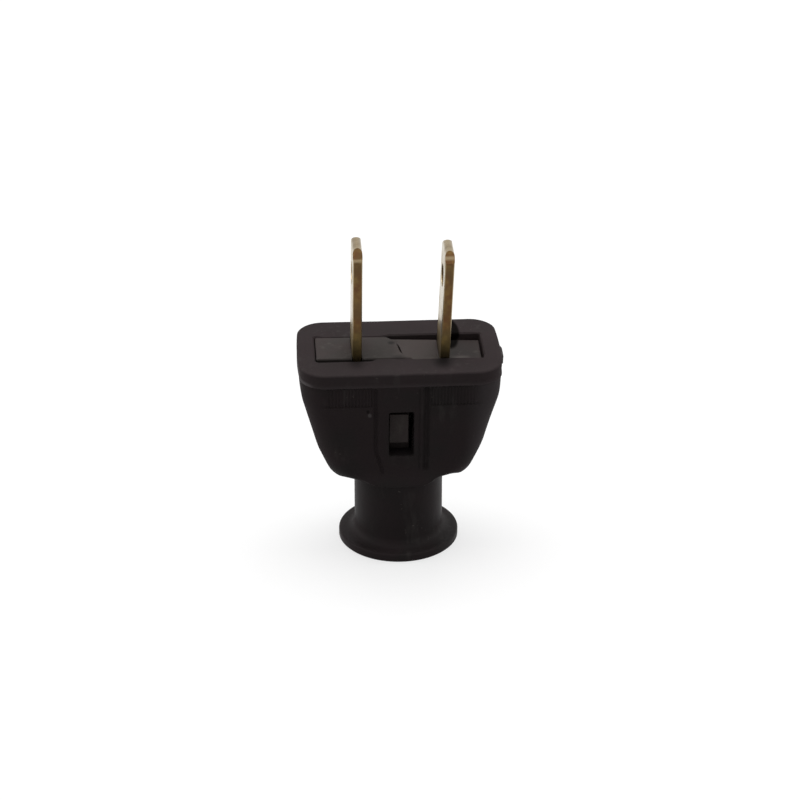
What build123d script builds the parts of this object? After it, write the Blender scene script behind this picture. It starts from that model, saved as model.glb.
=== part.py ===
from build123d import *
import math
import os

# Straight blade plug: a rubber shell with a cord neck, and in it a core of two halves
# that hold the folded brass blades, their terminal screws and the cord jaws.
# Millimetres. The origin is the centre of the flange's underside, on which the plug stands.
# X runs along the face's long side, Y from front to back, Z up towards the blades.

# Shell, outside
FACE_LENGTH = 28.8
FACE_DEPTH = 17.5
FACE_HEIGHT = 30.3
FACE_CORNER = 3.4
END_BOW = 0.5
RIM_EDGE = 0.35
BAND_HEIGHT = 2.1
BAND_STEP = 0.15
WAIST_LENGTH = 23.65
WAIST_DROP = 13.2
SHOULDER_LENGTH = 19.2
SHOULDER_DROP = 5.1
SHOULDER_ROUND = 2.9
SIDE_DROP = 2.7
BEND = 0.9
SIDE_DRAFT = 0.12
BROAD_TAPER = 6.2
NECK_DIAMETER = 12.65
FLANGE_DIAMETER = 17.35
FLANGE_THICKNESS = 1.25
FLANGE_FILLET = 1.6
FLANGE_EDGE = 0.12
CORD_BORE = 8.0
GATE_NUB_WIDTH = 3.2
GATE_NUB_REACH = 0.42
GATE_NUB_OFFSET = -1.0
GATE_NUB_FLAT = 0.04

# Shell, details of the two broad sides
PANEL_LEFT = 3.45
PANEL_RIGHT = 3.6
PANEL_LENGTH = 13.0
GROOVE_WIDTH = 0.4
WIDE_GROOVE = 0.8
GROOVE_DEPTH = 0.28
INNER_LINE_INSET = 1.0
WINDOW_WIDTH = 3.55
WINDOW_HEIGHT = 7.3
WINDOW_TOP = 4.2
GRIP_INSET = 4.15
GRIP_RIBS = 14
RIB_PITCH = 0.46
RIB_GROOVE = 0.2
RIB_DEPTH = 0.15
GRIP_HEIGHT = 3.1
GRIP_SUNK = 0.12

# Shell, inside
LIP_THICKNESS = 2.4
RECESS_LENGTH = 23.75
RECESS_DEPTH = 7.7
RECESS_CORNER = 0.4
SIDE_WALL = 2.25
BROAD_WALL = 3.0
FLOOR_WALL = 1.0

# Core halves
LEFT_HALF_LENGTH = 11.8
RIGHT_HALF_LENGTH = 11.45
BOSS_DEPTH = 6.9
BOSS_CHAMFER = 0.15
SEAM_REACH = 1.7
SEAM_WAIST = 0.35
SEAM_GAP = 0.15
SEAM_LIFT = 0.45
PARTING = 0.5
CORE_CLEARANCE = 0.4
FLOOR_CLEARANCE = 0.7
TOP_PLATE = 2.0
CHAMBER_DEPTH = 6.8
JAW_HEIGHT = 2.4
JAW_RADIUS = 3.6
JAW_TOOTH = 0.45
TOOTH_LEVELS = (0.5, 1.7)
LUG_WIDTH = 2.6
LUG_HEIGHT = 4.7
LUG_DROP = 4.8
LUG_OFFSET = 0.35
LUG_SUNK = 0.5
LUG_RAMP = 0.5
TONGUE_MARGIN = 0.3
TONGUE_SLIT = 0.4
TONGUE_THICKNESS = 1.1
TONGUE_ROOT = 1.2
LAP_ROOM = 0.65

# Blades
BLADE_SPACING = 12.2
BLADE_WIDTH = 6.35
BLADE_THICKNESS = 1.35
BLADE_LENGTH = 16.3
FOLD_GAP = 0.03
BLADE_CORNER_WIDTH = 1.3
BLADE_CORNER_HEIGHT = 1.4
HOLE_DIAMETER = 3.2
HOLE_HEIGHT = 11.7
SLOT_CLEARANCE = 0.05
BLADE_EDGE = 0.12

# Terminals
TAB_REACH = 3.6
FOLD_TAIL = 1.0
SCREW_DROP = 8.4
SCREW_DIAMETER = 2.9
SCREW_LENGTH = 4.4
SCREW_HOLE_CLEARANCE = 0.1
HEAD_DIAMETER = 5.4
HEAD_HEIGHT = 1.5
DRIVER_SLOT_WIDTH = 0.8
DRIVER_SLOT_DEPTH = 0.7
HEAD_ROUND = 0.45
SHANK_POINT = 0.4
CLAMP_SIZE = 5.8
CLAMP_THICKNESS = 0.8
CLAMP_CORNER = 0.7

# How the two halves of the core sit in the shell: leaning to the right about the face's
# centre, in degrees, then moved along X and Y and sunk below the face
LEFT_SEAT = {"lean": 0.8, "along": 0.12, "across": 0.05, "sunk": 0.08}
RIGHT_SEAT = {"lean": 2.4, "along": 0.27, "across": -0.2, "sunk": 0.36}

# Sizes that follow from those
BODY_TOP = FACE_HEIGHT - BAND_HEIGHT
BODY_LENGTH = FACE_LENGTH - 2 * BAND_STEP
BODY_DEPTH = FACE_DEPTH - 2 * BAND_STEP
WAIST_HEIGHT = FACE_HEIGHT - WAIST_DROP
BODY_BOTTOM = WAIST_HEIGHT - SHOULDER_DROP
CAVITY_FLOOR = BODY_BOTTOM + FLOOR_WALL
LIP_UNDERSIDE = FACE_HEIGHT - LIP_THICKNESS
TAPER = math.tan(math.radians(BROAD_TAPER))
KNEE_HEIGHT = BODY_TOP - SIDE_DROP
CORE_TOP = LIP_UNDERSIDE - CORE_CLEARANCE
CORE_BOTTOM = CAVITY_FLOOR + FLOOR_CLEARANCE
CHAMBER_TOP = CORE_TOP - TOP_PLATE
CHAMBER_BOTTOM = CORE_BOTTOM + JAW_HEIGHT
CHAMBER_FLOOR = BLADE_SPACING / 2 + FOLD_GAP / 2 + SLOT_CLEARANCE
TAB_FACE = BLADE_SPACING / 2 - BLADE_THICKNESS / 2
SCREW_HEIGHT = FACE_HEIGHT - SCREW_DROP
LUG_TOP = BODY_TOP - LUG_DROP
TONGUE_TOP = LUG_TOP + TONGUE_MARGIN
TONGUE_WIDTH = LUG_WIDTH + 2 * TONGUE_MARGIN
FOLD_END = CHAMBER_TOP - FOLD_TAIL
TAB_END = SCREW_HEIGHT - TAB_REACH

# Where a solid stands relative to its own place
STANDING = (Align.CENTER, Align.CENTER, Align.MIN)
HANGING = (Align.CENTER, Align.CENTER, Align.MAX)
ROOM = (Align.MAX, Align.CENTER, Align.MIN)


def body_half_length(height):
    """Half the shell's length at a height: nearly upright to the knee, then tapering inwards."""
    corners = (
        (BODY_TOP, BODY_LENGTH / 2),
        (KNEE_HEIGHT, BODY_LENGTH / 2 - SIDE_DRAFT),
        (WAIST_HEIGHT, WAIST_LENGTH / 2),
        (BODY_BOTTOM, SHOULDER_LENGTH / 2),
    )
    for (upper, upper_half), (lower, lower_half) in zip(corners, corners[1:]):
        if height >= lower:
            break
    return lower_half + (upper_half - lower_half) * (height - lower) / (upper - lower)


def body_half_depth(height):
    """Half the shell's depth at a height: the broad sides slope in evenly."""
    return BODY_DEPTH / 2 - (BODY_TOP - height) * TAPER


def bowed_outline(half_length, half_depth, corner):
    """A rectangle with bowed short ends and rounded corners."""
    end = half_length - END_BOW
    with BuildSketch() as sketch:
        with BuildLine():
            Line((-end, half_depth), (end, half_depth))
            ThreePointArc((end, half_depth), (half_length, 0), (end, -half_depth))
            Line((end, -half_depth), (-end, -half_depth))
            ThreePointArc((-end, -half_depth), (-half_length, 0), (-end, half_depth))
        make_face()
        fillet(sketch.vertices(), corner)
    return sketch.sketch


def shell_body():
    levels = (
        BODY_TOP, KNEE_HEIGHT + BEND, KNEE_HEIGHT - BEND, WAIST_HEIGHT + BEND,
        WAIST_HEIGHT - BEND, BODY_BOTTOM,
    )
    sections = [
        Pos(0, 0, z) * bowed_outline(body_half_length(z), body_half_depth(z), FACE_CORNER)
        for z in levels
    ]
    body = loft(sections, ruled=True)
    lowest = body.faces().sort_by(Axis.Z)[0]
    return fillet(lowest.edges(), SHOULDER_ROUND)


def rim_band():
    outline = bowed_outline(FACE_LENGTH / 2, FACE_DEPTH / 2, FACE_CORNER)
    band = extrude(Pos(0, 0, BODY_TOP) * outline, BAND_HEIGHT)
    band = fillet(band.faces().sort_by(Axis.Z)[-1].edges(), RIM_EDGE)
    nub = Box(2 * GATE_NUB_REACH, GATE_NUB_WIDTH, BAND_HEIGHT - 2 * RIM_EDGE)
    nub = fillet(nub.edges().filter_by(Axis.Z), GATE_NUB_REACH - GATE_NUB_FLAT)
    return band + Pos(FACE_LENGTH / 2, GATE_NUB_OFFSET, BODY_TOP + BAND_HEIGHT / 2) * nub


def neck_and_flange():
    neck = NECK_DIAMETER / 2
    rim = FLANGE_DIAMETER / 2
    foot = neck + FLANGE_FILLET
    with BuildPart() as turned:
        with BuildSketch(Plane.XZ):
            with BuildLine():
                Polyline((0, BODY_BOTTOM + SHOULDER_ROUND), (0, 0), (rim - FLANGE_EDGE, 0))
                Line((rim - FLANGE_EDGE, 0), (rim, FLANGE_EDGE))
                Line((rim, FLANGE_EDGE), (rim, FLANGE_THICKNESS - FLANGE_EDGE))
                Line((rim, FLANGE_THICKNESS - FLANGE_EDGE), (rim - FLANGE_EDGE, FLANGE_THICKNESS))
                Line((rim - FLANGE_EDGE, FLANGE_THICKNESS), (foot, FLANGE_THICKNESS))
                RadiusArc((foot, FLANGE_THICKNESS), (neck, FLANGE_THICKNESS + FLANGE_FILLET), FLANGE_FILLET)
                Polyline(
                    (neck, FLANGE_THICKNESS + FLANGE_FILLET),
                    (neck, BODY_BOTTOM + SHOULDER_ROUND),
                    (0, BODY_BOTTOM + SHOULDER_ROUND),
                )
            make_face()
        revolve(axis=Axis.Z)
    return turned.part


def on_broad_side(solid):
    """Lay a solid, drawn with its outer face on y = 0 and z = 0 under the band, on the front."""
    return Pos(0, -BODY_DEPTH / 2, BODY_TOP) * Rot(BROAD_TAPER, 0, 0) * solid


def broad_side_cuts():
    """Grooves beside the centre panel, the ribbed grips and the latch window of the front."""
    cuts = []
    lines = (
        (-PANEL_LEFT, GROOVE_WIDTH), (PANEL_RIGHT, WIDE_GROOVE),
        (PANEL_RIGHT - INNER_LINE_INSET, GROOVE_WIDTH),
    )
    for x, width in lines:
        groove = Box(width, 2 * GROOVE_DEPTH, PANEL_LENGTH)
        cuts.append(Pos(x, 0, -PANEL_LENGTH / 2) * groove)
    grip_length = GRIP_RIBS * RIB_PITCH
    for side in (-1, 1):
        centre = side * (GRIP_INSET + grip_length / 2)
        pad = Box(grip_length, 2 * GRIP_SUNK, GRIP_HEIGHT)
        cuts.append(Pos(centre, 0, -GRIP_HEIGHT / 2) * pad)
        for rib in range(GRIP_RIBS):
            x = side * (GRIP_INSET + (rib + 0.5) * RIB_PITCH)
            groove = Box(RIB_GROOVE, 2 * (GRIP_SUNK + RIB_DEPTH), GRIP_HEIGHT)
            cuts.append(Pos(x, 0, -GRIP_HEIGHT / 2) * groove)
    window = Box(WINDOW_WIDTH, BODY_DEPTH / 2, WINDOW_HEIGHT)
    cuts.append(Pos(0, 0, -WINDOW_TOP - WINDOW_HEIGHT / 2) * window)
    return [on_broad_side(cut) for cut in cuts]


def cavity():
    """The hollow behind the lip, the slot in the face and the bore through the neck."""
    levels = (LIP_UNDERSIDE, KNEE_HEIGHT, WAIST_HEIGHT, CAVITY_FLOOR)
    sections = [
        Pos(0, 0, z)
        * RectangleRounded(
            2 * (body_half_length(z) - SIDE_WALL), 2 * cavity_half_depth(z), RECESS_CORNER
        )
        for z in levels
    ]
    hollow = loft(sections, ruled=True)
    slot = extrude(
        Pos(0, 0, LIP_UNDERSIDE) * RectangleRounded(RECESS_LENGTH, RECESS_DEPTH, RECESS_CORNER),
        LIP_THICKNESS,
    )
    bore = Pos(0, 0, CAVITY_FLOOR / 2) * Cylinder(CORD_BORE / 2, CAVITY_FLOOR)
    return hollow + slot + bore


def cavity_half_depth(height):
    return body_half_depth(LIP_UNDERSIDE) - BROAD_WALL - (LIP_UNDERSIDE - height) * TAPER / 2


def make_shell():
    outside = shell_body() + rim_band() + neck_and_flange()
    front = broad_side_cuts()
    back = [Rot(0, 0, 180) * cut for cut in front]
    return outside - front - back - cavity()


def seam_outline(half_length):
    """The left half's face: square at its outer end, an S curve against the other half."""
    back = BOSS_DEPTH / 2
    with BuildSketch() as sketch:
        with BuildLine():
            gap = SEAM_GAP / 2
            Polyline(
                (-SEAM_REACH - gap, back), (-half_length, back),
                (-half_length, -back), (SEAM_REACH - gap, -back),
            )
            Spline(
                (SEAM_REACH - gap, -back), (SEAM_WAIST - gap, -back / 2), (-gap, 0),
                (-SEAM_WAIST - gap, back / 2), (-SEAM_REACH - gap, back),
                tangents=((-1, 1.2), (-1, 1.2)),
            )
        make_face()
    return sketch.sketch


def core_block(half_length):
    """The left half's outer form below the lip, tapered like the shell's cavity."""
    shorter = LEFT_HALF_LENGTH - half_length

    def section(z):
        outer = body_half_length(z) - SIDE_WALL - CORE_CLEARANCE - shorter
        width = outer - PARTING
        return Pos(-PARTING - width / 2, 0, z) * Rectangle(width, 2 * core_half_depth(z))

    return loft([section(z) for z in (CORE_TOP, KNEE_HEIGHT, WAIST_HEIGHT, CORE_BOTTOM)], ruled=True)


def core_half_depth(height):
    return cavity_half_depth(height) - CORE_CLEARANCE


def face_boss(half_length):
    """The block that fills half of the slot in the shell's face."""
    outline = seam_outline(half_length)
    own_side = Pos(-PARTING, 0) * Rectangle(half_length, BOSS_DEPTH, align=(Align.MAX, Align.CENTER))
    pad = extrude(Pos(0, 0, CORE_TOP) * (outline & own_side), SEAM_LIFT)
    rise = FACE_HEIGHT - CORE_TOP - SEAM_LIFT
    boss = extrude(Pos(0, 0, CORE_TOP + SEAM_LIFT) * outline, rise)
    straight = boss.faces().sort_by(Axis.Z)[-1].edges().filter_by(GeomType.LINE)
    return pad + chamfer(straight, BOSS_CHAMFER)


def latch_tongue():
    """A spring tongue in the front wall that laps over the other half and carries the lug."""
    face = core_half_depth(SCREW_HEIGHT)
    reach = body_half_depth(SCREW_HEIGHT) - LUG_SUNK - face
    blade = Box(
        TONGUE_WIDTH, TONGUE_THICKNESS, TONGUE_TOP - CHAMBER_BOTTOM,
        align=(Align.CENTER, Align.MIN, Align.MIN),
    )
    lug = Box(LUG_WIDTH, reach, LUG_HEIGHT, align=(Align.CENTER, Align.MAX, Align.MAX))
    lower_edge = lug.faces().sort_by(Axis.Z)[0].edges().sort_by(Axis.Y)[0]
    lug = chamfer(lower_edge, LUG_RAMP)
    return Pos(-LUG_OFFSET, -face, CHAMBER_BOTTOM) * blade + Pos(-LUG_OFFSET, -face, LUG_TOP) * lug


def core_half(half_length):
    """The left half of the core. The right one is the same form turned half a turn."""
    half = core_block(half_length) + face_boss(half_length)
    deep = 2 * half_length
    chamber_height = CHAMBER_TOP - CHAMBER_BOTTOM
    chamber = Box(CHAMBER_FLOOR, CHAMBER_DEPTH, chamber_height, align=ROOM)
    half -= Pos(0, 0, CHAMBER_BOTTOM) * chamber
    jaw = Pos(0, 0, CORE_BOTTOM) * Cylinder(JAW_RADIUS, JAW_HEIGHT, align=STANDING)
    teeth = Cylinder(JAW_RADIUS, JAW_TOOTH, align=STANDING)
    teeth -= Cylinder(JAW_RADIUS - JAW_TOOTH, JAW_TOOTH, align=STANDING)
    for level in TOOTH_LEVELS:
        jaw -= Pos(0, 0, CORE_BOTTOM + level) * teeth
    half -= jaw
    blade_slot = BLADE_THICKNESS + 2 * SLOT_CLEARANCE
    blade_x = -BLADE_SPACING / 2
    half -= Pos(blade_x, 0, CORE_TOP) * Box(blade_slot, deep, deep, align=STANDING)
    half -= Pos(blade_x, 0, FOLD_END) * Box(
        blade_slot, BLADE_WIDTH + 2 * SLOT_CLEARANCE, deep, align=STANDING
    )
    screw_hole = Cylinder((SCREW_DIAMETER + SCREW_HOLE_CLEARANCE) / 2, SCREW_LENGTH)
    hole_end = -TAB_FACE + CLAMP_THICKNESS - SCREW_LENGTH / 2 - SCREW_HOLE_CLEARANCE
    half -= Pos(hole_end, 0, SCREW_HEIGHT) * Rot(0, 90, 0) * screw_hole
    slit = Box(
        TONGUE_WIDTH / 2 + LUG_OFFSET + TONGUE_SLIT, CHAMBER_DEPTH,
        TONGUE_TOP + TONGUE_SLIT - CHAMBER_BOTTOM - TONGUE_ROOT, align=(Align.MAX, Align.MAX, Align.MIN),
    )
    half -= Pos(0, -CHAMBER_DEPTH / 2 + TONGUE_THICKNESS / 2, CHAMBER_BOTTOM + TONGUE_ROOT) * slit
    lap = Box(
        TONGUE_WIDTH / 2 - LUG_OFFSET + LAP_ROOM, CHAMBER_DEPTH,
        TONGUE_TOP + TONGUE_SLIT - CORE_BOTTOM, align=(Align.MAX, Align.MIN, Align.MIN),
    )
    half -= Pos(0, CHAMBER_DEPTH / 2 - TONGUE_THICKNESS / 2, CORE_BOTTOM) * lap
    return half + latch_tongue()


def folded_blade():
    """A brass strip folded double at the tip, with one layer going on as the terminal tab."""
    tip = FACE_HEIGHT + BLADE_LENGTH
    outer = BLADE_THICKNESS / 2
    inner = FOLD_GAP / 2
    bend = tip - outer
    with BuildPart() as strip:
        with BuildSketch(Plane.XZ):
            with BuildLine():
                Polyline(
                    (-inner, bend), (-inner, FOLD_END), (-outer, FOLD_END), (-outer, bend),
                )
                ThreePointArc((-outer, bend), (0, tip), (outer, bend))
                Polyline((outer, bend), (outer, TAB_END), (inner, TAB_END), (inner, bend))
                ThreePointArc((inner, bend), (0, bend + inner), (-inner, bend))
            make_face()
        extrude(amount=BLADE_WIDTH / 2, both=True)
    blade = strip.part
    long_edges = blade.edges().filter_by(Axis.Z).filter_by(lambda e: abs(e.center().X) > 0.9 * outer)
    blade = chamfer(long_edges, BLADE_EDGE)
    for side in (-1, 1):
        corner = Polyline(
            (side * (BLADE_WIDTH / 2 - BLADE_CORNER_WIDTH), tip),
            (side * BLADE_WIDTH / 2, tip - BLADE_CORNER_HEIGHT),
            (side * BLADE_WIDTH / 2, tip),
            close=True,
        )
        blade -= extrude(Plane.YZ * make_face(corner), BLADE_THICKNESS, both=True)
    hole = Cylinder(HOLE_DIAMETER / 2, 2 * BLADE_THICKNESS)
    blade -= Pos(0, 0, FACE_HEIGHT + HOLE_HEIGHT) * Rot(0, 90, 0) * hole
    tapped = Cylinder((SCREW_DIAMETER + SCREW_HOLE_CLEARANCE) / 2, 2 * BLADE_THICKNESS)
    blade -= Pos(0, 0, SCREW_HEIGHT) * Rot(0, 90, 0) * tapped
    return Pos(-BLADE_SPACING / 2, 0, 0) * blade


def terminal_screw():
    """A slotted screw that drives outwards from the wire chamber."""
    seat = -TAB_FACE + CLAMP_THICKNESS
    shank = Cylinder(SCREW_DIAMETER / 2, SCREW_LENGTH, align=HANGING)
    shank = chamfer(shank.faces().sort_by(Axis.Z)[0].edges(), SHANK_POINT)
    head = Cylinder(HEAD_DIAMETER / 2, HEAD_HEIGHT, align=STANDING)
    head = fillet(head.faces().sort_by(Axis.Z)[-1].edges(), HEAD_ROUND)
    slot = Box(DRIVER_SLOT_WIDTH, HEAD_DIAMETER, DRIVER_SLOT_DEPTH, align=HANGING)
    screw = shank + head - Pos(0, 0, HEAD_HEIGHT) * slot
    return Pos(seat, 0, SCREW_HEIGHT) * Rot(0, 90, 0) * screw


def wire_clamp():
    """A square washer that presses the bared wire onto the tab."""
    plate = Box(CLAMP_SIZE, CLAMP_SIZE, CLAMP_THICKNESS, align=STANDING)
    plate = chamfer(plate.edges().filter_by(Axis.Z), CLAMP_CORNER)
    plate -= Cylinder((SCREW_DIAMETER + 2 * SCREW_HOLE_CLEARANCE) / 2, 3 * CLAMP_THICKNESS)
    return Pos(-TAB_FACE, 0, SCREW_HEIGHT) * Rot(0, 90, 0) * plate


def seated(solid, seat):
    """Lean a piece of the core about the face's centre and settle it in the shell."""
    hinge = Axis((0, 0, FACE_HEIGHT), (0, 1, 0))
    leaning = solid.rotate(hinge, seat["lean"])
    return Pos(seat["along"], seat["across"], -seat["sunk"]) * leaning


def turned(solid):
    return Rot(0, 0, 180) * solid


parts = {"shell": make_shell()}
for side, seat, length, place in (
    ("left", LEFT_SEAT, LEFT_HALF_LENGTH, lambda solid: solid),
    ("right", RIGHT_SEAT, RIGHT_HALF_LENGTH, turned),
):
    parts["core_half_" + side] = seated(place(core_half(length)), seat)
    parts["blade_" + side] = seated(place(folded_blade()), seat)
    parts["terminal_screw_" + side] = seated(place(terminal_screw()), seat)
    parts["wire_clamp_" + side] = seated(place(wire_clamp()), seat)

os.makedirs("parts", exist_ok=True)
for name, solid in parts.items():
    export_step(solid, f"parts/{name}.step")
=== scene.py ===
import math

import bmesh
import bpy
import numpy as np
from mathutils import Matrix, Vector, noise


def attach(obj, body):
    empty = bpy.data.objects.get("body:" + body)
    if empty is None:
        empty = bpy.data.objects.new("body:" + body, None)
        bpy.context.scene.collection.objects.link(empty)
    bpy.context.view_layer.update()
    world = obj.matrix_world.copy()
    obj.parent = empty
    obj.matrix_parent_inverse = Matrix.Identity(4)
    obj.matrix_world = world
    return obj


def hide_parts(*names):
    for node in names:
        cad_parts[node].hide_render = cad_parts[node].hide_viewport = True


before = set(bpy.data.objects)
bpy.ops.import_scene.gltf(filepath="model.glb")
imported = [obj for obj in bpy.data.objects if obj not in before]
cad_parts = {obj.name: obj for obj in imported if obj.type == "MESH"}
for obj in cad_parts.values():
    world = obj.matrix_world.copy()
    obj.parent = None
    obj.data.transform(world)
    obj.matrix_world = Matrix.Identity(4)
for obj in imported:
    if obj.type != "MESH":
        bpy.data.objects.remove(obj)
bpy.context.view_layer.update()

bl_info = {
    "name": "Straight blade plug",
    "version": (1, 0, 0),
    "blender": (4, 5, 0),
    "location": "View3D > Sidebar > Plug",
    "description": "Dresses the packed straight blade plug: rubber shell, core and brass blades",
    "category": "Object",
}

# Lengths below are millimetres, as in the part's source, and turn to metres with MM
MM = 0.001
ROOT = "root"

# Shell, outside. BODY_HALF_LENGTHS holds heights with the half length there, and BAND_RINGS
# heights with how far the band stands in from the face's outline there
FACE_HEIGHT = 30.3
FACE_HALF_LENGTH = 14.4
FACE_HALF_DEPTH = 8.75
BAND_BOTTOM = 28.2
BAND_RINGS = (
    (29.5, 0.02), (29.2, 0.04), (28.9, 0.06), (28.7, 0.07), (28.58, 0.07), (28.46, 0.03),
    (28.40, 0.0), (28.34, 0.03), (28.29, 0.10), (28.25, 0.14),
)
BODY_BOTTOM = 12.0
BODY_HALF_LENGTHS = ((28.2, 14.25), (25.5, 14.13), (17.1, 11.93), (12.0, 9.76))
BEND = 0.9
BODY_HALF_DEPTH = 8.6
BROAD_ANGLE = math.radians(6.2)
BROAD_SLOPE = math.tan(BROAD_ANGLE)
CORNER = 3.4
END_BOW = 0.5
NECK_RADIUS = 6.37
FLANGE_RADIUS = 8.675
FLANGE_THICKNESS = 1.25
FLANGE_FILLET = 1.35
FLANGE_EDGE = 0.3
BORE_RADIUS = 4.0

# The round under the body: its radius at the short ends and on the broad sides, how much
# rounder the corners get, and how far the middle of a broad side hangs lower
SHOULDER_ROUND = 2.7
SHOULDER_ANGLE = math.atan((11.93 - 9.76) / 5.1)
BROAD_ROUND = 0.25
CORNER_GROWTH = 2.8
BROAD_DROP = 0.75

# The moulding nub on the right end: where it lies along Y and in height, and its reach
NUB_SIDES = (-2.6, 0.6)
NUB_HEIGHTS = (28.6, 29.75)
NUB_REACH = 0.37

# Shell, inside. WINDOW_FLARE holds distances out from the wall, with how much wider a window is
SLOT_HALF_LENGTH = 11.875
SLOT_HALF_DEPTH = 3.85
SLOT_CORNER = 0.4
LIP_UNDERSIDE = 27.9
CAVITY_FLOOR = 13.0
CAVITY_LEVELS = ((27.9, 11.99, 5.57), (25.5, 11.88, 5.44), (17.1, 9.575, 4.98), (13.0, 7.79, 4.76))
WINDOW_FLARE = ((-4.6, 0.0), (-0.22, 0.0), (-0.12, 0.03), (-0.03, 0.1), (0.02, 0.18), (1.5, 1.0))

# Blades: their sizes before they lean, and how each half of the core sits in the shell
BLADE_X = 6.1
BLADE_HALF_WIDTH = 3.175
BLADE_HALF_THICKNESS = 0.675
BLADE_TIP = 46.6
BLADE_CUT_WIDTH = 1.3
BLADE_CUT_HEIGHT = 1.4
BLADE_EDGE = 0.24
BLADE_JOIN = 28.9
HOLE_RADIUS = 1.6
HOLE_HEIGHT = 42.0
SEATS = {
    "left": {"lean": 0.8, "move": (0.12, 0.05, -0.08)},
    "right": {"lean": 2.4, "move": (0.27, -0.20, -0.36)},
}

# Grip pads and panel lines of a broad side, with x as seen from its own front
GRIP_START = 4.15
GRIP_LENGTH = 6.44
PAD_BOTTOM = 25.15
PAD_TOP = 28.3
PAD_DEPTH = 0.2
PAD_EDGE = 0.10
LINES_TOP = 28.0
LINES_END = 13.9
LINES_FADE = 0.3
RIB_SIDES = 10

# Columns of the shell's mesh: evenly spaced near the middle of a broad side, where the panel
# lines are, then wider apart; then round a corner and along a short end
MIDDLE_HALF = 5.0
MIDDLE_COLUMNS = 110
OUTER_COLUMNS = 42
CORNER_COLUMNS = 12
END_COLUMNS = 28

# A point belongs to the side that its outward direction points along by more than this share
FACING = 0.98

# ---- sizes and colours a user may change


class PlugGripSizes(bpy.types.PropertyGroup):
    rib_count: bpy.props.IntProperty(
        name="Ribs", description="Ribs on each grip pad", default=14, min=2, max=30
    )
    rib_pitch: bpy.props.FloatProperty(
        name="Rib pitch", description="Distance from one rib to the next",
        default=0.46 * MM, unit="LENGTH", precision=5,
    )
    rib_width: bpy.props.FloatProperty(
        name="Rib width", description="Width of the round bar that each rib is part of",
        default=0.42 * MM, unit="LENGTH", precision=5,
    )
    rib_rise: bpy.props.FloatProperty(
        name="Rib rise", description="How far a rib stands above its sunk pad",
        default=0.08 * MM, unit="LENGTH", precision=5,
    )
    rib_height: bpy.props.FloatProperty(
        name="Rib length", description="Length of a rib down the side",
        default=3.0 * MM, unit="LENGTH", precision=5,
    )


class PlugShellSizes(bpy.types.PropertyGroup):
    rim_round: bpy.props.FloatProperty(
        name="Rim edge radius", description="Radius of the soft edge round the face",
        default=0.32 * MM, unit="LENGTH", precision=5,
    )
    slot_round: bpy.props.FloatProperty(
        name="Slot edge radius", description="Radius of the edge round the slot in the face",
        default=0.22 * MM, unit="LENGTH", precision=5,
    )
    waviness: bpy.props.FloatProperty(
        name="Waviness", description="How far the soft rubber strays from true",
        default=0.05 * MM, unit="LENGTH", precision=5,
    )


class PlugColours(bpy.types.PropertyGroup):
    rubber: bpy.props.FloatVectorProperty(
        name="Rubber", description="Colour of the shell", subtype="COLOR",
        size=4, default=(0.0260, 0.0198, 0.0206, 1.0), min=0.0, max=1.0,
    )
    core: bpy.props.FloatVectorProperty(
        name="Core", description="Colour of the moulded core halves", subtype="COLOR",
        size=4, default=(0.0400, 0.0308, 0.0300, 1.0), min=0.0, max=1.0,
    )
    brass: bpy.props.FloatVectorProperty(
        name="Brass", description="Colour of the blades' folds and soft edges", subtype="COLOR",
        size=4, default=(0.34, 0.27, 0.165, 1.0), min=0.0, max=1.0,
    )
    rolled: bpy.props.FloatVectorProperty(
        name="Rolled brass", description="Colour of the blades' broad faces", subtype="COLOR",
        size=4, default=(0.50, 0.44, 0.33, 1.0), min=0.0, max=1.0,
    )
    tarnish: bpy.props.FloatVectorProperty(
        name="Tarnish", description="Colour of the blades' cut edges and roots", subtype="COLOR",
        size=4, default=(0.105, 0.064, 0.030, 1.0), min=0.0, max=1.0,
    )
    steel: bpy.props.FloatVectorProperty(
        name="Steel", description="Colour of the terminal screws and clamps", subtype="COLOR",
        size=4, default=(0.55, 0.54, 0.50, 1.0), min=0.0, max=1.0,
    )


# ---- shader groups and materials


def new_group(name, inputs, outputs):
    group = bpy.data.node_groups.new(name, "ShaderNodeTree")
    for label, default in inputs:
        socket = group.interface.new_socket(label, in_out="INPUT", socket_type="NodeSocketFloat")
        socket.default_value = default
    for label, kind in outputs:
        group.interface.new_socket(label, in_out="OUTPUT", socket_type=kind)
    return group, group.nodes.new("NodeGroupInput"), group.nodes.new("NodeGroupOutput")


def built_once(build):
    """Reuse the group that carries its builder's name, once it is there."""
    return lambda: bpy.data.node_groups.get(build.__name__) or build()


def object_place(tree):
    return tree.nodes.new("ShaderNodeTexCoord").outputs["Object"]


def axes_of(tree, vector):
    parts = tree.nodes.new("ShaderNodeSeparateXYZ")
    tree.links.new(vector, parts.inputs["Vector"])
    return parts.outputs


def noise_node(tree, coords, detail, scale_socket=None, scale=1000.0):
    texture = tree.nodes.new("ShaderNodeTexNoise")
    texture.inputs["Detail"].default_value = detail
    texture.inputs["Scale"].default_value = scale
    tree.links.new(coords, texture.inputs["Vector"])
    if scale_socket is not None:
        tree.links.new(scale_socket, texture.inputs["Scale"])
    return texture.outputs["Fac"]


def math_node(tree, operation, first, second):
    node = tree.nodes.new("ShaderNodeMath")
    node.operation = operation
    for socket, value in zip(node.inputs, (first, second)):
        if isinstance(value, (int, float)):
            socket.default_value = value
        else:
            tree.links.new(value, socket)
    return node.outputs[0]


def ramp_node(tree, value, low, high, low_out=0.0, high_out=1.0):
    node = tree.nodes.new("ShaderNodeMapRange")
    node.interpolation_type = "SMOOTHSTEP"
    limits = {"From Min": low, "From Max": high, "To Min": low_out, "To Max": high_out}
    for label, number in limits.items():
        node.inputs[label].default_value = number
    tree.links.new(value, node.inputs["Value"])
    return node.outputs["Result"]


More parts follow.
